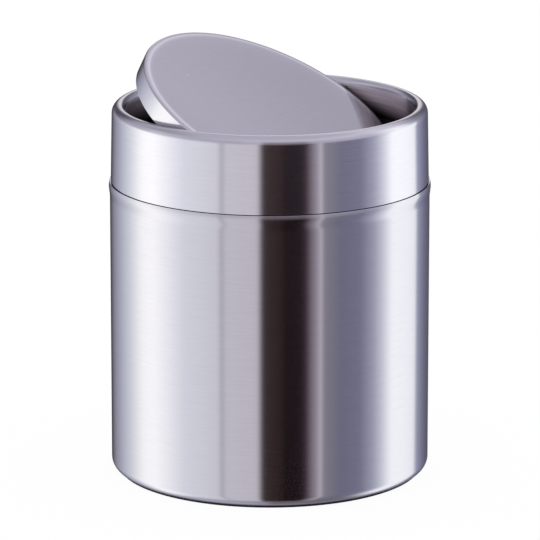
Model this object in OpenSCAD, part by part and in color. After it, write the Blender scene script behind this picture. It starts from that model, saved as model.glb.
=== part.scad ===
// Push top countertop bin: drawn steel can with a lift-off collar, in which a round flap tips on two pins.
// Millimetres, +Z up. The origin is the centre of the base, and the flap's pivot axis runs along Y.

/* [Can] */
// Outside radius of the can's straight wall
body_r = 59.6; // [50:0.1:75]
// Height of the can's mouth above the table
can_h = 111.1; // [95:0.1:150]
// Thickness of the can's drawn sheet
body_wall = 0.7; // [0.5:0.1:1.2]
// Radius of the rounded edge round the base
base_edge_r = 3.85; // [2:0.05:8]
// How far the mouth stands out of the wall
mouth_out = 0.4; // [0.2:0.05:1]
// Length over which the wall swells out to the mouth
swell_h = 4.5; // [3:0.5:12]
// Outer radius of the curl with which the sheet ends at the mouth
mouth_curl_r = 2.2; // [1.4:0.1:3]
// Radius of the raised panel in the base, measured underneath
panel_r = 48.5; // [40:0.5:50]
// Height of the raised panel above the rest of the base
panel_rise = 2.4; // [1.5:0.1:5]

/* [Base ring] */
// Height of the non-slip ring that shows under the can
ring_show = 0.6; // [0.4:0.1:2]
// How far the ring reaches out past the flat of the base
ring_out = 0.85; // [0:0.05:2]
// Width of the ring's hook inside the panel's edge
ring_hook_w = 1.6; // [1:0.1:4]
// Gap over the hook, below the raised panel
ring_hook_gap = 0.4; // [0.1:0.1:1]

/* [Collar shell] */
// Height of the collar, from the can's mouth to the top of the rim
collar_h = 29; // [24:0.5:45]
// How far the foot of the skirt stays inside the can's wall
collar_inset = 0.35; // [0.2:0.05:1]
// Radius that the skirt loses from its foot to the rim
collar_draft = 0.55; // [0:0.05:2]
// Thickness of the collar's sheet
collar_sheet = 0.6; // [0.4:0.1:1]
// Width of the rolled rim, seen from above
rim_w = 5.1; // [4.5:0.1:8]
// Radius of the rim's outer rounding
rim_out_r = 3.4; // [2:0.1:4]
// Depth of the steel wall inside the rim, from the top of the rim
inner_skirt_h = 13.2; // [12:0.1:18]
// Radius of the hole in the inner wall round each pin
pin_window_r = 1.4; // [1.2:0.1:2.5]

/* [Collar core] */
// Wall thickness of the moulded core
core_wall = 2; // [1.5:0.1:2.6]
// How deep the core's spigot reaches into the can
spigot_depth = 12.1; // [10:0.1:20]
// Gap between the spigot's flanges and the can's mouth
spigot_play = 0.6; // [0.3:0.1:1.5]
// Height of the skirt's foot above the can's mouth
seam_gap = 0.1; // [0:0.1:1]
// Thickness of the ledge that rests on the can's mouth
ledge_t = 2; // [1.3:0.1:4]
// Number of webs that back the skirt
web_count = 12; // [6:1:24]
// Thickness of each web
web_t = 1.4; // [0.8:0.1:3]
// Thickness of the spigot's two flanges
flange_t = 1.4; // [0.8:0.1:2]
// Outside radius of the bosses that hold the pins
pin_boss_r = 2.4; // [2:0.1:2.6]
// Thickness of the two stop fins
fin_t = 3; // [2:0.2:5]
// How far each fin reaches in past the flap's edge where the two meet
fin_overlap = 2.4; // [1:0.2:5]

/* [Grip ring] */
// Height of the soft ring between the ledge and a flange of the spigot
grip_h = 4.2; // [3:0.1:6]
// Thickness of each of the ring's two lips
grip_lip_t = 0.9; // [0.5:0.1:1.3]
// Thickness of the ring behind its lips
grip_body_t = 1.2; // [0.8:0.1:1.4]

/* [Flap] */
// Gap between the flap and the collar's inner wall, all round
flap_gap = 2.1; // [1.5:0.05:5]
// How far the closed flap's face lies below the rim
flap_drop = 2.9; // [2:0.1:5]
// Depth of the flap's skirt
flap_skirt = 7.9; // [7.6:0.1:14]
// Radius of the flap's rounded edge
flap_edge_r = 1.5; // [0.65:0.05:2]
// Thickness of the flap's steel cover
flap_sheet = 0.6; // [0.4:0.1:0.6]
// Angle to which the flap is tipped
flap_tilt = 27.5; // [0:0.5:70]
// Angle from level at which the flap meets its stops
stop_tilt = 72.5; // [45:0.5:74]

/* [Pivot] */
// Radius of the pivot pins
pin_r = 1; // [0.8:0.05:1.1]
// Distance from the flap's face down to the pivot axis
pivot_depth = 2.5; // [2.5:0.1:3.4]
// Wall thickness of the bushes
bush_wall = 0.5; // [0.3:0.05:0.6]
// Length of a bush inside the flap
bush_l = 6.5; // [4:0.5:9]
// Radius of a bush's spacing flange
bush_flange_r = 2.2; // [1.9:0.1:2.8]
// Gap between that flange and the collar's inner wall
bush_side_play = 0.35; // [0.2:0.05:0.8]
// How far a pin reaches past its bush, into the flap
pin_tail = 0.6; // [0:0.1:2]
// How deep a pin sits in the collar core
pin_seat = 2.8; // [2:0.1:3]
// Chamfer on the ends of the pins
pin_chamfer = 0.2; // [0.1:0.05:0.4]

/* [Flap carrier] */
// Thickness of the carrier's plate
plate_t = 1.2; // [0.8:0.1:1.6]
// Thickness of the carrier's rim and ribs
rib_t = 1.3; // [0.8:0.1:2]
// Number of ribs between the weight's frame and the rim
rib_count = 12; // [8:4:20]
// Width of the beams that hold the bushes
beam_w = 8; // [6:0.5:12]
// Depth of the beams below the pivot axis
beam_drop = 3.2; // [2.6:0.1:3.4]
// Radius of the bosses for the screws
screw_boss_r = 2.8; // [2.2:0.1:4]

/* [Closing weight] */
// Length of the steel weight, along the pivot axis
weight_l = 54; // [40:1:60]
// Width of the weight
weight_w = 24; // [10:1:30]
// Thickness of the weight
weight_t = 3.4; // [2:0.1:3.6]
// Radius of the weight's corners
weight_corner_r = 2; // [1:0.5:4]

/* [Underplate] */
// Thickness of the plate that closes the flap from below
underplate_t = 1.2; // [1:0.1:1.6]
// How far the plate lies inside the edge of the skirt
underplate_inset = 0.2; // [0.1:0.1:1]
// Distance of the screws from the flap's centre
screw_pitch_r = 36; // [32:1:42]
// Radius of the screws' shanks
screw_r = 0.9; // [0.7:0.05:1.2]
// Radius of the screws' sunk heads
screw_head_r = 1.9; // [1.6:0.1:2.4]
// Length of the screws
screw_l = 5.4; // [4:0.2:6]

/* [Clearances] */
// Radial clearance between pins and bushes, and round the grip ring
run_play = 0.05; // [0.02:0.01:0.1]
// Gap between parts that are pushed together and stay so
seat_play = 0.1; // [0.05:0.05:0.2]

/* [Hidden] */
$fn = 128;
arc_steps = 12;

steel = "#b9b8c2";
black = "#1c1b1e";
over = 1;
front = -1;
rear = 1;

// Heights and radii of the can
base_z = ring_show;
curl_c_r = body_r + mouth_out - mouth_curl_r;
curl_c_z = can_h - mouth_curl_r;

// Heights and radii of the collar
rim_z = can_h + collar_h;
skirt_z = can_h + seam_gap;
skirt_foot_r = body_r - collar_inset;
skirt_top_r = skirt_foot_r - collar_draft;
throat_r = skirt_top_r - rim_w;
draft = atan(collar_draft / (rim_z - skirt_z));
rim_c_z = rim_z - rim_out_r;
rim_c_r = skirt_foot_r - (rim_c_z - skirt_z) * tan(draft) - rim_out_r / cos(draft);
rim_in_r = rim_c_r - throat_r;
inner_skirt_z = rim_z - inner_skirt_h;

// Radii and heights of the core
core_mid_r = throat_r + core_wall / 2;
core_out_r = throat_r + core_wall;
core_back_r = throat_r + collar_sheet + run_play;
core_top_z = rim_z - collar_sheet - rim_in_r - seat_play;
ledge_r = skirt_foot_r - collar_sheet - seat_play;
web_r = skirt_top_r - collar_sheet - seat_play;
spigot_z = can_h - spigot_depth;
spigot_r = curl_c_r - spigot_play;
flange_z = can_h - grip_h - flange_t;

// Places in the flap, measured from the pivot axis
flap_r = throat_r - flap_gap;
pivot_z = rim_z - flap_drop - pivot_depth;
face_z = pivot_depth;
plate_top_z = face_z - flap_sheet;
plate_low_z = plate_top_z - plate_t;
skirt_edge_z = face_z - flap_skirt;
under_low_z = skirt_edge_z + underplate_inset;
under_top_z = under_low_z + underplate_t;
carrier_r = flap_r - flap_sheet - seat_play;
bush_bore_r = pin_r + run_play;
bush_r = bush_bore_r + bush_wall;
bush_in_y = flap_r - flap_sheet - bush_l;
pin_in_y = bush_in_y - pin_tail;
frame_l = weight_l + 2 * (seat_play + rib_t);
frame_w = weight_w + 2 * (seat_play + rib_t);

// The fins stop the flap's lower edge where its underside comes down on their round tops
fin_r = fin_t / 2;
fin_c = (fin_r - skirt_edge_z) / cos(stop_tilt);
fin_touch = fin_c * sin(stop_tilt);
fin_in_y = sqrt(pow(flap_r, 2) - pow(fin_touch, 2)) - fin_overlap;

// What is cut off a corner at the origin, whose solid lies to the left and below, to round it
module corner_cut(r) {
    difference() {
        translate([-r, -r]) square(r + over);
        translate([-r, -r]) circle(r);
    }
}

// Half section of a round block from z0 to z1, with its upper edge rounded
module barrel_section(r, z0, z1, edge_r) {
    difference() {
        translate([0, z0]) square([r, z1 - z0]);
        translate([r, z1]) corner_cut(edge_r);
    }
}

// Half section of a ring from r0 to r1 and from z0 to z1
module ring_section(r0, r1, z0, z1) {
    translate([r0, z0]) square([r1 - r0, z1 - z0]);
}

// Cylinder along Y, on the side that end names, from y0 out to y1
module side_cylinder(end, r, y0, y1) {
    rotate([-end * 90, 0, 0]) translate([0, 0, y0]) cylinder(r = r, h = y1 - y0);
}

// The flap's own frame, whose origin is on the pivot axis, tipped as the flap is
module in_flap() {
    translate([0, 0, pivot_z]) rotate([0, flap_tilt, 0]) children();
}

// Points of an arc about a centre, from angle a0 to angle a1
function arc(c, r, a0, a1) =
    [for (i = [0 : arc_steps]) let (a = a0 + (a1 - a0) * i / arc_steps) c + r * [cos(a), sin(a)]];

// The same points in the opposite order
function reversed(points) = [for (i = [len(points) - 1 : -1 : 0]) points[i]];

// Points up the wall where it swells out to the mouth, with an easy start and end
function swelling(inset) = [
    for (i = [0 : arc_steps - 1]) let (share = i / arc_steps)
        [body_r - inset + mouth_out * (1 - cos(180 * share)) / 2, curl_c_z - swell_h * (1 - share)]
];

// Path from the middle of the raised panel, round the base and up the wall to the curl, taken in by inset
function can_path(inset) = concat(
    [[0, base_z + panel_rise + inset], [panel_r + inset, base_z + panel_rise + inset]],
    [[panel_r + inset, base_z + inset]],
    arc([body_r - base_edge_r, base_z + base_edge_r], base_edge_r - inset, -90, 0),
    swelling(inset),
    arc([curl_c_r, curl_c_z], mouth_curl_r - inset, 0, 90)
);

// Drawn can of one thickness of sheet, with a raised panel in its base and a curl round its mouth
module bin_body() {
    color(steel) rotate_extrude() polygon(concat(can_path(0), reversed(can_path(body_wall))));
}

// Soft ring under the can, with a hook that grips inside the panel's edge
module base_ring() {
    hook_r = panel_r - run_play;
    color(black) rotate_extrude() {
        ring_section(hook_r - ring_hook_w, body_r - base_edge_r + ring_out, 0, base_z);
        ring_section(hook_r - ring_hook_w, hook_r, 0, base_z + panel_rise - ring_hook_gap);
    }
}

// Path up the throat, over the rim and down the skirt, taken in by inset
function collar_path(inset) = concat(
    [[throat_r + inset, inner_skirt_z]],
    arc([throat_r + rim_in_r, rim_z - rim_in_r], rim_in_r - inset, 180, 90),
    arc([rim_c_r, rim_c_z], rim_out_r - inset, 90, draft),
    [[skirt_foot_r - inset / cos(draft), skirt_z]]
);

// Double-walled shell: drafted skirt, rolled rim and short inner wall, with a window for each pin
module collar_shell() {
    color(steel) difference() {
        rotate_extrude() polygon(concat(collar_path(0), reversed(collar_path(collar_sheet))));
        for (end = [front, rear]) translate([0, 0, pivot_z])
            side_cylinder(end, pin_window_r, flap_r, throat_r + collar_sheet + over);
    }
}

// Body of revolution of the core: throat, wall behind the steel, ledge, and spigot flanges
module core_ring() {
    rotate_extrude() {
        ring_section(throat_r, core_out_r, spigot_z, inner_skirt_z);
        ring_section(core_back_r, core_back_r + core_wall, inner_skirt_z - core_wall, core_top_z);
        ring_section(core_mid_r, ledge_r, can_h, can_h + ledge_t);
        for (z = [spigot_z, flange_z]) ring_section(core_mid_r, spigot_r, z, z + flange_t);
    }
}

// Fin with a round top under a pivot, on which the flap's edge stops
module stop_fin(end) {
    depth = pivot_z - fin_c - spigot_z;
    outline = concat(arc([0, 0], fin_r, 0, 180), [[-fin_r, -depth], [fin_r, -depth]]);
    translate([0, end == rear ? core_mid_r : -fin_in_y, pivot_z - fin_c])
        rotate([90, 0, 0]) linear_extrude(core_mid_r - fin_in_y) polygon(outline);
}

// Moulded core: its ring with webs behind the skirt, pin bosses and stop fins
module collar_core() {
    color(black) difference() {
        union() {
            core_ring();
            for (i = [0 : web_count - 1]) rotate([0, 0, (i + 0.5) * 360 / web_count])
                translate([core_out_r - seat_play, -web_t / 2, can_h + ledge_t - seat_play])
                    cube([web_r - core_out_r, web_t, core_top_z - can_h - ledge_t - rim_out_r]);
            for (end = [front, rear]) {
                translate([0, 0, pivot_z]) side_cylinder(end, pin_boss_r, core_back_r + seat_play, web_r);
                stop_fin(end);
            }
        }
        for (end = [front, rear]) translate([0, 0, pivot_z])
            side_cylinder(end, pin_r, throat_r - over, core_back_r + pin_seat);
    }
}

// Soft ring between the ledge and the flange below it, whose upper lip bears on the curl of the can's mouth
module grip_ring() {
    in_r = core_out_r + run_play;
    low_z = flange_z + flange_t + run_play;
    high_z = can_h - run_play;
    color(black) rotate_extrude() {
        ring_section(in_r, in_r + grip_body_t, low_z, high_z);
        for (z = [low_z, high_z - grip_lip_t])
            ring_section(in_r, curl_c_r - run_play, z, z + grip_lip_t);
    }
}

// Pin that is pressed into the core and reaches into the flap
module pivot_pin(end) {
    tip_r = pin_r - pin_chamfer;
    pin_out_y = core_back_r + pin_seat;
    color(steel) translate([0, 0, pivot_z]) rotate([-end * 90, 0, 0]) rotate_extrude() polygon([
        [0, pin_in_y], [tip_r, pin_in_y], [pin_r, pin_in_y + pin_chamfer],
        [pin_r, pin_out_y - pin_chamfer], [tip_r, pin_out_y], [0, pin_out_y]
    ]);
}

// Bush in the flap's beam, with a flange that spaces the flap from the inner wall
module pivot_bush(end) {
    flange_y = flap_r + run_play;
    bush_out_y = throat_r - bush_side_play;
    color(black) in_flap() rotate([-end * 90, 0, 0]) rotate_extrude() polygon([
        [bush_bore_r, bush_in_y], [bush_r, bush_in_y], [bush_r, flange_y],
        [bush_flange_r, flange_y], [bush_flange_r, bush_out_y], [bush_bore_r, bush_out_y]
    ]);
}

// Pressed steel cover: flat face, rounded edge and skirt, drilled for the bushes
module flap_cover() {
    color(steel) in_flap() difference() {
        rotate_extrude() difference() {
            barrel_section(flap_r, skirt_edge_z, face_z, flap_edge_r);
            barrel_section(flap_r - flap_sheet, skirt_edge_z - over, plate_top_z, flap_edge_r - flap_sheet);
        }
        for (end = [front, rear]) side_cylinder(end, bush_r + run_play, carrier_r - over, flap_r + over);
    }
}

// Places the four screws of the underplate
module at_screws() {
    for (i = [0 : 3]) rotate([0, 0, 45 + 90 * i]) translate([screw_pitch_r, 0, 0]) children();
}

// Moulded carrier: plate and rim under the cover, ribs, frame for the weight, beams and screw bosses
module flap_carrier() {
    frame_top_z = under_top_z + weight_t;
    rim_r = carrier_r - flap_edge_r;
    beam_h = plate_top_z - seat_play + beam_drop;
    beam_l = flap_r - frame_l / 2 + rib_t;
    color(black) in_flap() difference() {
        union() {
            rotate_extrude() {
                ring_section(0, rim_r, plate_low_z, plate_top_z);
                ring_section(rim_r - rib_t, rim_r, under_top_z, plate_top_z);
                ring_section(rim_r - rib_t, carrier_r, under_top_z, plate_low_z);
            }
            intersection() {
                for (i = [0 : rib_count - 1]) rotate([0, 0, (i + 0.5) * 360 / rib_count])
                    translate([0, -rib_t / 2, frame_top_z])
                        cube([carrier_r - rib_t / 2, rib_t, plate_top_z - frame_top_z - seat_play]);
                translate([0, 0, under_top_z]) cylinder(r = carrier_r - rib_t / 2, h = flap_skirt);
            }
            translate([-frame_w / 2, -frame_l / 2, under_top_z])
                cube([frame_w, frame_l, plate_top_z - under_top_z - seat_play]);
            for (end = [front, rear]) intersection() {
                translate([0, end * (flap_r - beam_l / 2), beam_h / 2 - beam_drop])
                    cube([beam_w, beam_l, beam_h], center = true);
                translate([0, 0, -beam_drop]) cylinder(r = carrier_r - rib_t / 2, h = flap_skirt);
            }
            at_screws() translate([0, 0, under_top_z])
                cylinder(r = screw_boss_r, h = plate_top_z - under_top_z - seat_play);
        }
        translate([0, 0, under_top_z - over]) weight_block(weight_t + over, seat_play);
        for (end = [front, rear]) {
            side_cylinder(end, bush_r, bush_in_y, flap_r);
            side_cylinder(end, bush_bore_r + seat_play, frame_l / 2 + rib_t, flap_r);
        }
        at_screws() translate([0, 0, under_low_z]) cylinder(r = screw_r, h = screw_l + seat_play);
    }
}

// Block with the outline of the weight, of height h and larger by grow all round
module weight_block(h, grow) {
    corner = weight_corner_r + grow;
    x = weight_w / 2 - weight_corner_r;
    y = weight_l / 2 - weight_corner_r;
    linear_extrude(h) {
        for (sx = [-1, 1], sy = [-1, 1]) translate([sx * x, sy * y]) circle(corner);
        square([2 * (x + corner), 2 * y], center = true);
        square([2 * x, 2 * (y + corner)], center = true);
    }
}

// Steel bar under the pivot axis, which swings the flap back to level
module closing_weight() {
    color("#8d8f94") in_flap() translate([0, 0, under_top_z]) weight_block(weight_t, 0);
}

// Plate that closes the flap from below, with sunk holes for the screws
module flap_underplate() {
    color(black) in_flap() difference() {
        translate([0, 0, under_low_z]) cylinder(r = carrier_r, h = underplate_t);
        at_screws() translate([0, 0, under_low_z]) {
            translate([0, 0, -over]) cylinder(r = screw_r + seat_play, h = underplate_t + 2 * over);
            screw_head(screw_r + seat_play, screw_head_r + seat_play);
        }
    }
}

// Sunk head that narrows from the plate's lower face up to the shank
module screw_head(shank_r, head_r) {
    cylinder(r1 = head_r, r2 = shank_r, h = head_r - shank_r);
}

// Four small screws with a slot
module underplate_screws() {
    slot_w = screw_head_r / 4;
    color(steel) in_flap() at_screws() translate([0, 0, under_low_z]) difference() {
        union() {
            screw_head(screw_r, screw_head_r);
            cylinder(r = screw_r, h = screw_l);
        }
        cube([3 * screw_head_r, slot_w, screw_r], center = true);
    }
}

bin_body();
base_ring();
collar_shell();
collar_core();
grip_ring();
pivot_pin(front);  // pivot_pin_front
pivot_pin(rear);  // pivot_pin_rear
pivot_bush(front);  // pivot_bush_front
pivot_bush(rear);  // pivot_bush_rear
flap_cover();
flap_carrier();
closing_weight();
flap_underplate();
underplate_screws();
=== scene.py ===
# Push top countertop bin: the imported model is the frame, and this adds its finishes, studio and camera
import math

import bmesh
import bpy
from mathutils import Matrix, Vector


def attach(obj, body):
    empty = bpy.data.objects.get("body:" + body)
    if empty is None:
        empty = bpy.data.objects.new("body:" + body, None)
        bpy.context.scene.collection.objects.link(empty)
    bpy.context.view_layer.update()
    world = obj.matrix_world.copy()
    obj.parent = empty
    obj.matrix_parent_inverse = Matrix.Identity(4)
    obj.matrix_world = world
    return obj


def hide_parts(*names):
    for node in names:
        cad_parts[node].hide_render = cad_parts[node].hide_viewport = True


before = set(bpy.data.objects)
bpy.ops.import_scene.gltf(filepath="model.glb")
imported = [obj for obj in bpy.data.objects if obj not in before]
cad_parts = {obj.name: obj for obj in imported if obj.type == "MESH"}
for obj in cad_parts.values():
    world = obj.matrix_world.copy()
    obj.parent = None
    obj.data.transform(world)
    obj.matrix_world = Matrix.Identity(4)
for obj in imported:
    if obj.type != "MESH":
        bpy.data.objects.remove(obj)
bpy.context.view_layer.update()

scene = bpy.context.scene
scene.view_settings.view_transform = "Standard"

MM = 0.001

# Camera: a long lens, a little above the rim
VIEW_AZIMUTH = 31.9
VIEW_ELEVATION = 14.05
VIEW_DISTANCE = 1.8326
VIEW_HEIGHT = 75.76 * MM
FOCAL_LENGTH = 326.28
SENSOR_WIDTH = 36
VIEW_SHIFT = 0.0004
NEAREST = 0.05
FARTHEST = 20


def direction(azimuth, elevation):
    """Unit vector from the bin's centre; azimuth 0 is along -Y and grows towards +X, in degrees."""
    a = math.radians(azimuth)
    e = math.radians(elevation)
    return Vector((math.sin(a) * math.cos(e), -math.cos(a) * math.cos(e), math.sin(e)))


back = direction(VIEW_AZIMUTH, VIEW_ELEVATION)
camera = bpy.data.objects.new("camera", bpy.data.cameras.new("camera"))
scene.collection.objects.link(camera)
camera.data.lens = FOCAL_LENGTH
camera.data.sensor_width = SENSOR_WIDTH
camera.data.shift_x = VIEW_SHIFT
camera.data.clip_start = NEAREST
camera.data.clip_end = FARTHEST
camera.location = Vector((0, 0, VIEW_HEIGHT)) + back * VIEW_DISTANCE
camera.rotation_mode = "QUATERNION"
camera.rotation_quaternion = back.to_track_quat("Z", "Y")
scene.camera = camera

# Sizes in millimetres. They are the solids' own, but the rim's roll, the flap's edge, the mouth and the
# seam are drawn a little closer to the photo.

# Can: its radius and wall, its mouth, the swell below the mouth, its base edge and the panel in its base
BODY_R = 59.6
BODY_WALL = 0.7
MOUTH_Z = 110.7
MOUTH_OUT = 0.4
MOUTH_LEAN = 0.24
LEAN_POWER = 1.25
LIP_EDGE_R = 0.04
SWELL_H = 4.5
SWELL_Z = 109.15
SWELL_STEPS = 24
LEAN_STEPS = 8
BASE_Z = 0.6
BASE_EDGE_R = 3.85
PANEL_R = 48.5
PANEL_RISE = 2.4
PANEL_BEND_R = 1.2
# Collar: its rolled rim, its skirt, its throat and the windows for the pins
SHEET = 0.6
RIM_Z = 139.6
RIM_OUT_R = 2.9
RIM_EASE = 0.5
RIM_IN_R = 1.9
RIM_IN_H = 3.6
RIM_OUT_STEPS = 24
RIM_IN_STEPS = 16
SKIRT_FOOT_R = 59.25
SKIRT_FOOT_Z = 110.9
SKIRT_TOP_R = 58.7
THROAT_R = 53.6
INNER_WALL_Z = 126.9
WINDOW_R = 1.4
PIVOT_Z = 134.7
# Flap: its edge and the painted highlight inside it, its slightly dished face, its skirt and its bush holes
FLAP_R = 51.5
FLAP_EDGE_R = 0.8
FLAP_HIGHLIGHT_R = 49.6
FLAP_FACE_Z = 2.5
FLAP_DISH = 0.1
DISH_POWER = 8
DISH_PARTS = 32
DISH_RINGS = (0, 8, 16, 20, 24, 26, 28, 29, 30, 31)
FLAP_SKIRT_Z = -5.4
FLAP_TILT = math.radians(27.5)
BUSH_HOLE_R = 1.6


# Meshes
def arc(centre, radius, start, end, steps=16):
    """Points of an arc in a half section, with its angles in degrees from the outward direction."""
    angles = [math.radians(start + (end - start) * i / steps) for i in range(steps + 1)]
    return [(centre[0] + radius * math.cos(a), centre[1] + radius * math.sin(a)) for a in angles]


def finish_mesh(name, bm, smooth_below=30):
    """Turns a bmesh into an object that shades smoothly except over edges sharper than the given angle."""
    mesh = bpy.data.meshes.new(name)
    bm.to_mesh(mesh)
    bm.free()
    mesh.shade_smooth()
    mesh.set_sharp_from_angle(angle=math.radians(smooth_below))
    made = bpy.data.objects.new(name, mesh)
    scene.collection.objects.link(made)
    return made


def lathe(name, section, turns=256):
    """A solid of revolution from a closed half section, whose points are in order and in millimetres."""
    bm = bmesh.new()
    rings = []
    for r, z in section:
        if r < 1e-6:
            rings.append([bm.verts.new((0, 0, z * MM))] * turns)
            continue
        angles = [2 * math.pi * i / turns for i in range(turns)]
        rings.append([bm.verts.new((r * math.cos(a) * MM, r * math.sin(a) * MM, z * MM)) for a in angles])
    for low, high in zip(rings, rings[1:] + rings[:1]):
        for i in range(turns):
            j = (i + 1) % turns
            corners = list(dict.fromkeys([low[i], low[j], high[j], high[i]]))
            if len(corners) > 2:
                bm.faces.new(corners)
    bmesh.ops.recalc_face_normals(bm, faces=bm.faces)
    return finish_mesh(name, bm)


def drill(obj, radius, height, y0, y1, sides=48):
    """Cuts a hole along Y on both sides of a piece, from y0 out to y1, with all sizes in millimetres."""
    for side in (-1, 1):
        bm = bmesh.new()
        place = Matrix.Translation((0, side * (y0 + y1) / 2 * MM, height * MM))
        bmesh.ops.create_cone(
            bm, cap_ends=True, segments=sides, radius1=radius * MM, radius2=radius * MM,
            depth=(y1 - y0) * MM, matrix=place @ Matrix.Rotation(math.pi / 2, 4, "X"),
        )
        cutter = finish_mesh("cutter", bm)
        hole = obj.modifiers.new("hole", "BOOLEAN")
        hole.operation = "DIFFERENCE"
        hole.solver = "EXACT"
        hole.object = cutter
        depsgraph = bpy.context.evaluated_depsgraph_get()
        drilled = bpy.data.meshes.new_from_object(obj.evaluated_get(depsgraph))
        obj.modifiers.clear()
        obj.data = drilled
        bpy.data.objects.remove(cutter)


# Nodes and colours
def linear(colour):
    """The linear RGBA of an sRGB hex colour."""
    channels = [int(colour[i:i + 2], 16) / 255 for i in (1, 3, 5)]
    return [c / 12.92 if c <= 0.04045 else ((c + 0.055) / 1.055) ** 2.4 for c in channels] + [1]


def add(tree, kind, settings=None, **sockets):
    """Adds a node, sets its properties, and fills or links its input sockets.

    A socket is given by its name, or as _0, _1 and so on by its place.
    """
    made = tree.nodes.new(kind)
    for name, value in (settings or {}).items():
        setattr(made, name, value)
    for name, value in sockets.items():
        socket = made.inputs[int(name[1:])] if name[0] == "_" else made.inputs[name.replace("_", " ")]
        if isinstance(value, bpy.types.NodeSocket):
            tree.links.new(value, socket)
        else:
            socket.default_value = value
    return made


def set_stops(ramp, stops):
    """Gives a colour ramp its stops, each a place from 0 to 1 and an sRGB colour."""
    elements = ramp.color_ramp.elements
    while len(elements) > 1:
        elements.remove(elements[0])
    elements[0].position = stops[0][0]
    elements[0].color = linear(stops[0][1])
    for place, colour in stops[1:]:
        elements.new(place).color = linear(colour)


def new_material(name):
    """An empty node material and its tree."""
    made = bpy.data.materials.new(name)
    made.use_nodes = True
    made.node_tree.nodes.clear()
    return made, made.node_tree


# Drawn sheet, which the press leaves a warm grey with streaks round the piece, each some 45 mm long. It
# stays on inward-facing walls, which the belt doesn't reach. On the collar's inner wall a painted shade
# darkens it from the wall's crest down to its edge, standing for the bin's dark inside that the wall
# reflects.
STREAK_PITCH = 1.1 * MM
STREAKS_PER_METRE = 22
SHEET_ROUGHNESS = 0.38
PAINTED_SHADE_START = 2 * MM
PAINTED_SHADE_END = 12 * MM


def drawn_sheet(tree, place, painted_shade_below):
    """The colour of drawn sheet, with painted shade darkening it below a height in metres if one is given.
    """
    across = (STREAKS_PER_METRE, STREAKS_PER_METRE, 1 / STREAK_PITCH)
    streaks_at = add(tree, "ShaderNodeVectorMath", {"operation": "MULTIPLY"}, _0=place, _1=across)
    streaks = add(
        tree, "ShaderNodeTexNoise", Vector=streaks_at.outputs[0], Scale=1, Detail=5, Roughness=0.65,
    )
    sheet = add(tree, "ShaderNodeValToRGB", Fac=streaks.outputs[0])
    set_stops(sheet, [(0.3, "#d4caca"), (0.5, "#eae2e2"), (0.7, "#fbf5f5")])
    if not painted_shade_below:
        return sheet.outputs[0]
    # Painted shade: the inner wall is drawn darker from its crest downwards, standing for the dark inside it
    # reflects
    level = add(tree, "ShaderNodeSeparateXYZ", Vector=place).outputs[2]
    depth = add(
        tree, "ShaderNodeMapRange", Value=level,
        From_Min=painted_shade_below - PAINTED_SHADE_END, From_Max=painted_shade_below - PAINTED_SHADE_START,
    )
    painted_shade_ramp = add(tree, "ShaderNodeValToRGB", Fac=depth.outputs[0])
    set_stops(painted_shade_ramp, [(0, "#3c3236"), (0.26, "#8a8082"), (0.52, "#cdc6c8"), (1, "#fdfbfd")])
    shaded_sheet = add(
        tree, "ShaderNodeMix", {"data_type": "RGBA", "blend_type": "MULTIPLY"},
        _0=1, _6=sheet.outputs[0], _7=painted_shade_ramp.outputs[0],
    )
    return shaded_sheet.outputs[2]


# Painted highlight and specks on the flap: a brighter line, painted just inside the edge, which fades
# inwards over some 6 mm, and a few light and dark specks that the die leaves
HIGHLIGHT_FADE = 6 * MM
HIGHLIGHT_EDGE = 1 * MM
SPECK_SPACING = 14 * MM
SPECK_R = 0.4 * MM


def highlight_and_specks(tree, place, tone, highlight_r):
    """A tone with the painted highlight line, at a radius in metres, and the specks."""
    flat = add(tree, "ShaderNodeVectorMath", {"operation": "MULTIPLY"}, _0=place, _1=(1, 1, 0))
    radius = add(tree, "ShaderNodeVectorMath", {"operation": "LENGTH"}, _0=flat.outputs[0])
    # Painted highlight: a near-white line just inside the flap's edge, fading inwards
    across_highlight = add(
        tree, "ShaderNodeMapRange", Value=radius.outputs["Value"],
        From_Min=highlight_r - HIGHLIGHT_FADE, From_Max=highlight_r + HIGHLIGHT_EDGE,
    )
    highlight_ramp = add(tree, "ShaderNodeValToRGB", Fac=across_highlight.outputs[0])
    set_stops(highlight_ramp, [
        (0, "#000000"), (0.55, "#303030"), (0.72, "#808080"), (0.84, "#ffffff"), (0.93, "#c0c0c0"),
        (1, "#000000"),
    ])
    highlighted = add(
        tree, "ShaderNodeMix", {"data_type": "RGBA"}, _0=highlight_ramp.outputs[0], _6=tone, _7=linear("#fdfcfe"),
    )
    specks = add(tree, "ShaderNodeTexVoronoi", Vector=place, Scale=1 / SPECK_SPACING)
    speck = add(
        tree, "ShaderNodeMapRange", Value=specks.outputs["Distance"],
        From_Min=SPECK_R / SPECK_SPACING, From_Max=0.6 * SPECK_R / SPECK_SPACING,
    )
    speck_tone = add(tree, "ShaderNodeValToRGB", Fac=specks.outputs["Color"])
    set_stops(speck_tone, [(0.45, "#8e8c90"), (0.55, "#ffffff")])
    specked = add(
        tree, "ShaderNodeMix", {"data_type": "RGBA"},
        _0=speck.outputs[0], _6=highlighted.outputs[2], _7=speck_tone.outputs[0],
    )
    return specked.outputs[2]


# Brushed stainless steel, satin. A belt laid on the turning can leaves level lines some 0.05 mm apart. They
# draw a reflection out up and down but keep its left and right edges sharp. They are drawn 0.35 mm apart, as
# fine as shows. Steel gets less bright at a glancing angle than a mirror, so its edges are tinted grey.
LINE_PITCH = 0.35 * MM
LINE_LENGTH = 12 * MM
LINE_DEPTH = 0.1 * MM
ROUGHNESS_SPREAD = 0.01
BODY_SATIN = 0.163
FLAP_SATIN = 0.09
# Facing of a surface away from the piece's axis, at which drawn sheet starts to show and is all that shows
INWARD_START = -0.95
INWARD_FULL = -0.995


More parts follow.
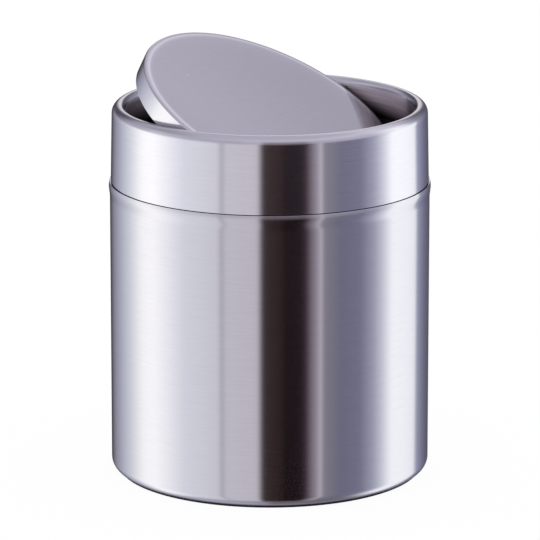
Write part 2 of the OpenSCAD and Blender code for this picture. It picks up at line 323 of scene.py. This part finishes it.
def brushed_steel(name, tones, across, roughness, highlight_r=None, painted_shade_below=None):
    """Brushed steel with fine lines across the given axes, and drawn sheet where it faces inward.

    The radius of the painted highlight line and the height below which an inner wall is painted darker are
    in metres.
    """
    made, tree = new_material(name)
    texture = add(tree, "ShaderNodeTexCoord")
    place = texture.outputs["Object"]
    fine = [1 / (LINE_PITCH if axis in across else LINE_LENGTH) for axis in "XYZ"]
    lines_at = add(tree, "ShaderNodeVectorMath", {"operation": "MULTIPLY"}, _0=place, _1=fine)
    noise = add(tree, "ShaderNodeTexNoise", Vector=lines_at.outputs[0], Scale=1, Detail=4, Roughness=0.7)
    lines = noise.outputs[0]

    level_place = add(tree, "ShaderNodeVectorMath", {"operation": "MULTIPLY"}, _0=place, _1=(1, 1, 0))
    outward = add(tree, "ShaderNodeVectorMath", {"operation": "NORMALIZE"}, _0=level_place.outputs[0])
    facing = add(
        tree, "ShaderNodeVectorMath", {"operation": "DOT_PRODUCT"},
        _0=outward.outputs[0], _1=texture.outputs["Normal"],
    )
    inner = add(
        tree, "ShaderNodeMapRange", Value=facing.outputs["Value"],
        From_Min=INWARD_START, From_Max=INWARD_FULL,
    ).outputs[0]

    belt = add(tree, "ShaderNodeValToRGB", Fac=lines)
    set_stops(belt, [(0.3, tones[0]), (0.7, tones[1])])
    tone = add(
        tree, "ShaderNodeMix", {"data_type": "RGBA"},
        _0=inner, _6=belt.outputs[0], _7=drawn_sheet(tree, place, painted_shade_below),
    ).outputs[2]
    # Painted highlight along the flap's edge, where a radius is given
    if highlight_r:
        tone = highlight_and_specks(tree, place, tone, highlight_r)
    worn = add(
        tree, "ShaderNodeMapRange", Value=lines, From_Min=0.3, From_Max=0.7,
        To_Min=roughness - ROUGHNESS_SPREAD, To_Max=roughness + ROUGHNESS_SPREAD,
    )
    rough = add(tree, "ShaderNodeMix", _0=inner, _2=worn.outputs[0], _3=SHEET_ROUGHNESS)
    bump = add(tree, "ShaderNodeBump", Height=lines, Strength=0.015, Distance=LINE_DEPTH)
    tangent = add(tree, "ShaderNodeTangent", {"direction_type": "RADIAL", "axis": "Z"})
    steel = add(
        tree, "ShaderNodeBsdfPrincipled", Base_Color=tone, Metallic=1, Roughness=rough.outputs[0],
        Anisotropic=0.95, Anisotropic_Rotation=0.25, Normal=bump.outputs[0], Tangent=tangent.outputs[0],
        Specular_Tint=linear("#c6c4c8"),
    )
    add(tree, "ShaderNodeOutputMaterial", Surface=steel.outputs[0])
    return made


can_steel = brushed_steel("brushed_can_steel", ("#cbcacf", "#d1d0d4"), "Z", BODY_SATIN)
# The collar's inner wall carries painted shade, darker towards its lower edge
collar_steel = brushed_steel(
    "brushed_collar_steel", ("#d2d1d6", "#d8d7db"), "Z", BODY_SATIN, painted_shade_below=RIM_Z * MM,
)
flap_steel = brushed_steel(
    "brushed_flap_steel", ("#cfced3", "#d5d4d8"), "XZ", FLAP_SATIN, highlight_r=FLAP_HIGHLIGHT_R * MM,
)


def grained(name, tones, roughness, grain, depth, stretch=(1, 1, 1), metallic=0):
    """A finish whose grain, with its size and depth in metres, varies its tone, roughness and height."""
    made, tree = new_material(name)
    place = add(tree, "ShaderNodeTexCoord").outputs["Object"]
    grains_at = add(
        tree, "ShaderNodeVectorMath", {"operation": "MULTIPLY"}, _0=place, _1=[s / grain for s in stretch],
    )
    noise = add(tree, "ShaderNodeTexNoise", Vector=grains_at.outputs[0], Scale=1, Detail=4, Roughness=0.6)
    grains = noise.outputs[0]
    tone = add(tree, "ShaderNodeValToRGB", Fac=grains)
    set_stops(tone, [(0.32, tones[0]), (0.68, tones[1])])
    rough = add(
        tree, "ShaderNodeMapRange", Value=grains, From_Min=0.32, From_Max=0.68,
        To_Min=roughness[0], To_Max=roughness[1],
    )
    bump = add(tree, "ShaderNodeBump", Height=grains, Strength=0.4, Distance=depth)
    surface = add(
        tree, "ShaderNodeBsdfPrincipled", Base_Color=tone.outputs[0], Metallic=metallic,
        Roughness=rough.outputs[0], Normal=bump.outputs[0],
    )
    add(tree, "ShaderNodeOutputMaterial", Surface=surface.outputs[0])
    return made


# Polypropylene, moulded black in a spark-eroded tool, whose fine pits leave a soft, slightly grey sheen.
# The pits are some 0.15 mm across and drawn 0.3 mm.
moulded_polypropylene = grained(
    "moulded_black_polypropylene", ("#121114", "#1d1c20"), (0.4, 0.52), 0.3 * MM, 0.02 * MM,
)
# Acetal, moulded black in a polished tool and rubbed by the pin, so it is smooth with a low gloss
smooth_acetal = grained(
    "smooth_black_acetal", ("#111114", "#18181b"), (0.26, 0.34), 0.9 * MM, 0.004 * MM,
)
# Rubber, moulded in a blasted tool, which leaves it matt; dust and wear turn its skin a little grey in spots
matt_rubber = grained("matt_black_rubber", ("#121213", "#212122"), (0.72, 0.86), 0.5 * MM, 0.03 * MM)
# Bright steel, turned on a lathe, which leaves fine rings across its length; they are drawn 0.2 mm apart
turned_steel = grained(
    "turned_bright_steel", ("#c2c2c6", "#d6d6d9"), (0.2, 0.3), 0.2 * MM, 0.004 * MM,
    stretch=(0.05, 1, 0.05), metallic=1,
)
# Steel bar, zinc plated in a barrel: a dull blue-grey with a cloudy mottle and small knocks
zinc_plate = grained(
    "dull_zinc_plate", ("#8f9297", "#b3b5b9"), (0.42, 0.58), 2.2 * MM, 0.02 * MM, metallic=1,
)


def dress(obj, node, body, material):
    """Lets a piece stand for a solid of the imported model, with its body and its material."""
    obj.data.materials.clear()
    obj.data.materials.append(material)
    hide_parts(node)
    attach(obj, body)


# Can: one drawn sheet, from the raised panel in its base up to the mouth, which leans in above its widest
def can_side(inset):
    """Points of one side of the can's sheet, from the middle of the base up to the mouth."""
    outside = inset == 0
    panel = (PANEL_R + inset, BASE_Z + PANEL_RISE + inset)
    side = [(0, panel[1])]
    side += arc((panel[0] - PANEL_BEND_R, panel[1] - PANEL_BEND_R), PANEL_BEND_R, 90, 0, 6)
    if outside:
        side += arc((panel[0] + PANEL_BEND_R, BASE_Z + PANEL_BEND_R), PANEL_BEND_R, 180, 270, 6)[1:]
    else:
        side.append((panel[0], BASE_Z + inset))
    side += arc((BODY_R - BASE_EDGE_R, BASE_Z + BASE_EDGE_R), BASE_EDGE_R - inset, -90, 0)
    for i in range(SWELL_STEPS + 1):
        ease = (1 - math.cos(math.pi * i / SWELL_STEPS)) / 2
        side.append((BODY_R - inset + MOUTH_OUT * ease, SWELL_Z + SWELL_H * (i / SWELL_STEPS - 1)))
    lip = MOUTH_Z - LIP_EDGE_R - SWELL_Z
    for i in range(1, LEAN_STEPS + 1):
        lean = MOUTH_LEAN * (i / LEAN_STEPS) ** LEAN_POWER
        side.append((BODY_R - inset + MOUTH_OUT - lean, SWELL_Z + lip * i / LEAN_STEPS))
    if outside:
        edge = (BODY_R + MOUTH_OUT - MOUTH_LEAN - LIP_EDGE_R, MOUTH_Z - LIP_EDGE_R)
        side += arc(edge, LIP_EDGE_R, 0, 90, 8)
    return side


can = lathe("can", can_side(0) + can_side(BODY_WALL)[::-1])
dress(can, "bin_body", "can", can_steel)


# Collar: skirt, rolled rim and inner wall of one sheet, with a window for each pin
def rim_inside(inset):
    """Points over the rim's inner side, from the inner wall up to the crest."""
    wide = RIM_IN_R - inset
    high = RIM_IN_H - inset
    points = []
    for i in range(RIM_IN_STEPS + 1):
        t = math.radians(180 - 90 * i / RIM_IN_STEPS)
        points.append((THROAT_R + RIM_IN_R + wide * math.cos(t), RIM_Z - RIM_IN_H + high * math.sin(t)))
    return points


def rim_outside(inset, draft):
    """Points over the rim's outer side, from the crest down; it starts to bend a little below the roll."""
    roll_z = RIM_Z - RIM_OUT_R
    roll_r = SKIRT_FOOT_R - (roll_z - SKIRT_FOOT_Z) * math.tan(draft) - RIM_OUT_R / math.cos(draft)
    wide = RIM_OUT_R - inset
    high = RIM_OUT_R + RIM_EASE - inset
    points = []
    for i in range(RIM_OUT_STEPS + 1):
        t = math.radians(90 - (90 - math.degrees(draft)) * i / RIM_OUT_STEPS)
        points.append((roll_r + wide * math.cos(t), roll_z - RIM_EASE + high * math.sin(t)))
    return points


def collar_side(inset):
    """Points of one side of the collar's sheet, from the inner wall over the rim to the skirt's foot."""
    draft = math.atan((SKIRT_FOOT_R - SKIRT_TOP_R) / (RIM_Z - SKIRT_FOOT_Z))
    wall = [(THROAT_R + inset, INNER_WALL_Z)]
    foot = [(SKIRT_FOOT_R - inset / math.cos(draft), SKIRT_FOOT_Z)]
    return wall + rim_inside(inset) + rim_outside(inset, draft) + foot


collar = lathe("collar", collar_side(0) + collar_side(SHEET)[::-1])
drill(collar, WINDOW_R, PIVOT_Z, THROAT_R - 1, THROAT_R + SHEET + 1)
dress(collar, "collar_shell", "collar", collar_steel)


# Flap: a pressed disc with a skirt, in its own frame, whose origin is on the pivot axis
def dish(share):
    """How far the face sinks inside its edge, at a share of the way out from its middle."""
    return FLAP_DISH * (1 - share ** DISH_POWER)


def flap_side(inset):
    """Points of one side of the flap's sheet, from the middle of the face to the edge of the skirt."""
    centre = (FLAP_R - FLAP_EDGE_R, FLAP_FACE_Z - FLAP_EDGE_R)
    shares = [ring / DISH_PARTS for ring in DISH_RINGS]
    face = [(centre[0] * share, FLAP_FACE_Z - inset - dish(share)) for share in shares]
    return face + arc(centre, FLAP_EDGE_R - inset, 90, 0) + [(FLAP_R - inset, FLAP_SKIRT_Z)]


flap = lathe("flap_disc", flap_side(0) + flap_side(SHEET)[::-1])
drill(flap, BUSH_HOLE_R, 0, FLAP_R - SHEET - 1, FLAP_R + 1)
flap.matrix_world = Matrix.Translation((0, 0, PIVOT_Z * MM)) @ Matrix.Rotation(FLAP_TILT, 4, "Y")
dress(flap, "flap_cover", "flap", flap_steel)

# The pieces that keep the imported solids
FINISH = {
    "base_ring": matt_rubber, "grip_ring": matt_rubber,
    "collar_core": moulded_polypropylene, "flap_carrier": moulded_polypropylene,
    "flap_underplate": moulded_polypropylene,
    "pivot_bush_front": smooth_acetal, "pivot_bush_rear": smooth_acetal,
    "pivot_pin_front": turned_steel, "pivot_pin_rear": turned_steel, "underplate_screws": turned_steel,
    "closing_weight": zinc_plate,
}
for node, finish in FINISH.items():
    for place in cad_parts[node].material_slots:
        place.material = finish

# Studio: a light tent of white cloth that only reflections see. Its wall has white and grey panels and a
# dark gap on the camera's side. Over the wall come an upper ring, a grey roof and the zenith, and below it
# is the table's sheen. Each panel is an azimuth from the camera, growing towards the right, with a colour.
# The floor is white paper.
TENT_RADIUS = 2.5
TENT_LIGHT = 1.6
FLOOR_HALF = 6
PAPER_GLOW = 0.95
TABLE = [
    (-180, "#84828e"), (-120, "#a2a6b4"), (-50, "#9c9aa6"), (-8, "#84808a"), (8, "#686064"),
    (90, "#6a666e"), (180, "#848290"),
]
WALL = [
    (-180, "#1c1418"), (-165, "#4c464c"), (-150, "#a0a2ae"), (-136, "#b8bac8"), (-120, "#d2d5da"),
    (-104, "#f7f8f6"), (-92, "#faf9f8"), (-80, "#eaeaec"), (-64, "#d0d1d9"), (-48, "#c9cacf"),
    (-37.5, "#c5c3ca"), (-34.5, "#a09ea6"), (-31.5, "#bcbac2"), (-9, "#b9b4ba"), (-5, "#302626"),
    (8, "#241816"), (11, "#120809"), (22, "#140a0c"), (26, "#2e2228"), (30.5, "#736973"),
    (34.5, "#908a94"), (36.5, "#b6b0ba"), (39, "#7c7880"), (52, "#676678"), (68, "#6c6c80"),
    (80, "#9496a7"), (88, "#bebfcb"), (98, "#f2f3f5"), (129, "#f8f9fb"), (132.5, "#a0a4b8"),
    (146, "#84849a"), (180, "#2c2428"),
]
UPPER = [
    (-180, "#fcfafc"), (-175, "#e8e6ea"), (-168, "#6c6870"), (-160, "#545058"), (-150, "#5a5862"),
    (-140, "#7e7c88"), (-130, "#9a98a6"), (-110, "#a2a0ae"), (-92, "#b8b6c2"), (-60, "#a2a0ae"),
    (-24, "#9c98a4"), (-8, "#a8a4ae"), (-3, "#7c727a"), (24, "#7c727a"), (32, "#a09ca8"),
    (80, "#aeacba"), (95, "#d6d6de"), (106, "#eceef2"), (118, "#dcdce4"), (128, "#a2a0b0"),
    (138, "#8c8a97"), (150, "#7a7884"), (161, "#5c5a64"), (168, "#7c7a84"), (174, "#e8e6ea"),
    (180, "#fcfafc"),
]
ROOF = [
    (-180, "#a8a5b1"), (-150, "#a4a2ac"), (-130, "#9694a0"), (-108, "#8a8892"), (-88, "#94929c"),
    (-60, "#a4a2ae"), (-20, "#b0aeba"), (20, "#b4b1be"), (90, "#b7b4c2"), (104, "#c4c2ce"),
    (130, "#b6b4be"), (146, "#c4c1cd"), (160, "#c8c5d1"), (180, "#a09da9"),
]
ZENITH = [(-180, "#a7a3b0")]
# Each ring over the table, with the heights in degrees between which it takes over from the one below
RINGS = [(-62, -44, WALL), (5, 12, UPPER), (25, 43, ROOF), (50, 66, ZENITH)]


def panel_colour(tree, share, panels):
    """The colour of one ring of panels at a share of the way round."""
    made = add(tree, "ShaderNodeValToRGB", Fac=share)
    set_stops(made, [(angle / 360 + 0.5, colour) for angle, colour in panels])
    return made.outputs[0]


def tent_cloth():
    """The tent's glowing cloth."""
    made, tree = new_material("light_tent_cloth")
    place = add(tree, "ShaderNodeTexCoord").outputs["Object"]
    turned = add(
        tree, "ShaderNodeVectorRotate", {"rotation_type": "Z_AXIS"},
        Vector=place, Angle=-math.radians(VIEW_AZIMUTH),
    )
    unit = add(tree, "ShaderNodeVectorMath", {"operation": "NORMALIZE"}, _0=turned.outputs[0])
    xyz = add(tree, "ShaderNodeSeparateXYZ", Vector=unit.outputs[0])
    away = add(tree, "ShaderNodeMath", {"operation": "MULTIPLY"}, _0=xyz.outputs[1], _1=-1)
    azimuth = add(tree, "ShaderNodeMath", {"operation": "ARCTAN2"}, _0=xyz.outputs[0], _1=away.outputs[0])
    share = add(
        tree, "ShaderNodeMapRange", Value=azimuth.outputs[0], From_Min=-math.pi, From_Max=math.pi,
    ).outputs[0]
    height = add(tree, "ShaderNodeMath", {"operation": "ARCSINE"}, _0=xyz.outputs[2]).outputs[0]
    cloth = panel_colour(tree, share, TABLE)
    for start, end, panels in RINGS:
        part = add(
            tree, "ShaderNodeMapRange", {"interpolation_type": "SMOOTHSTEP"}, Value=height,
            From_Min=math.radians(start), From_Max=math.radians(end),
        )
        cloth = add(
            tree, "ShaderNodeMix", {"data_type": "RGBA"},
            _0=part.outputs[0], _6=cloth, _7=panel_colour(tree, share, panels),
        ).outputs[2]
    glow = add(tree, "ShaderNodeEmission", Color=cloth, Strength=TENT_LIGHT)
    add(tree, "ShaderNodeOutputMaterial", Surface=glow.outputs[0])
    made.cycles.emission_sampling = "NONE"
    return made


def white_paper():
    """The floor's white paper, which keeps the bin's faint shadow."""
    made, tree = new_material("white_paper")
    path = add(tree, "ShaderNodeLightPath")
    seen = path.outputs["Is Camera Ray"]
    for ray in ("Is Glossy Ray", "Is Transmission Ray"):
        either = add(tree, "ShaderNodeMath", {"operation": "MAXIMUM"}, _0=seen, _1=path.outputs[ray])
        seen = either.outputs[0]
    keep = add(tree, "ShaderNodeMath", {"operation": "MULTIPLY"}, _0=seen, _1=PAPER_GLOW)
    diffuse = add(tree, "ShaderNodeBsdfDiffuse", Color=(1, 1, 1, 1))
    white = add(tree, "ShaderNodeEmission", Color=(1, 1, 1, 1), Strength=1)
    paper = add(
        tree, "ShaderNodeMixShader", _0=keep.outputs[0], _1=diffuse.outputs[0], _2=white.outputs[0],
    )
    add(tree, "ShaderNodeOutputMaterial", Surface=paper.outputs[0])
    return made


def set_up(name, bm, material):
    """Turns a bmesh into a piece of the studio with one material."""
    mesh = bpy.data.meshes.new(name)
    bm.to_mesh(mesh)
    bm.free()
    made = bpy.data.objects.new(name, mesh)
    made.data.materials.append(material)
    scene.collection.objects.link(made)
    return made


bm = bmesh.new()
bmesh.ops.create_icosphere(bm, subdivisions=5, radius=TENT_RADIUS)
tent = set_up("light_tent", bm, tent_cloth())
tent.visible_camera = False
tent.visible_diffuse = False
tent.visible_shadow = False

bm = bmesh.new()
bmesh.ops.create_grid(bm, x_segments=1, y_segments=1, size=FLOOR_HALF)
floor = set_up("floor", bm, white_paper())
floor.visible_glossy = False

world = bpy.data.worlds.new("studio")
scene.world = world
world.use_nodes = True
world.node_tree.nodes.clear()
air = add(world.node_tree, "ShaderNodeBackground", Color=(1, 1, 1, 1), Strength=1)
add(world.node_tree, "ShaderNodeOutputWorld", Surface=air.outputs[0])
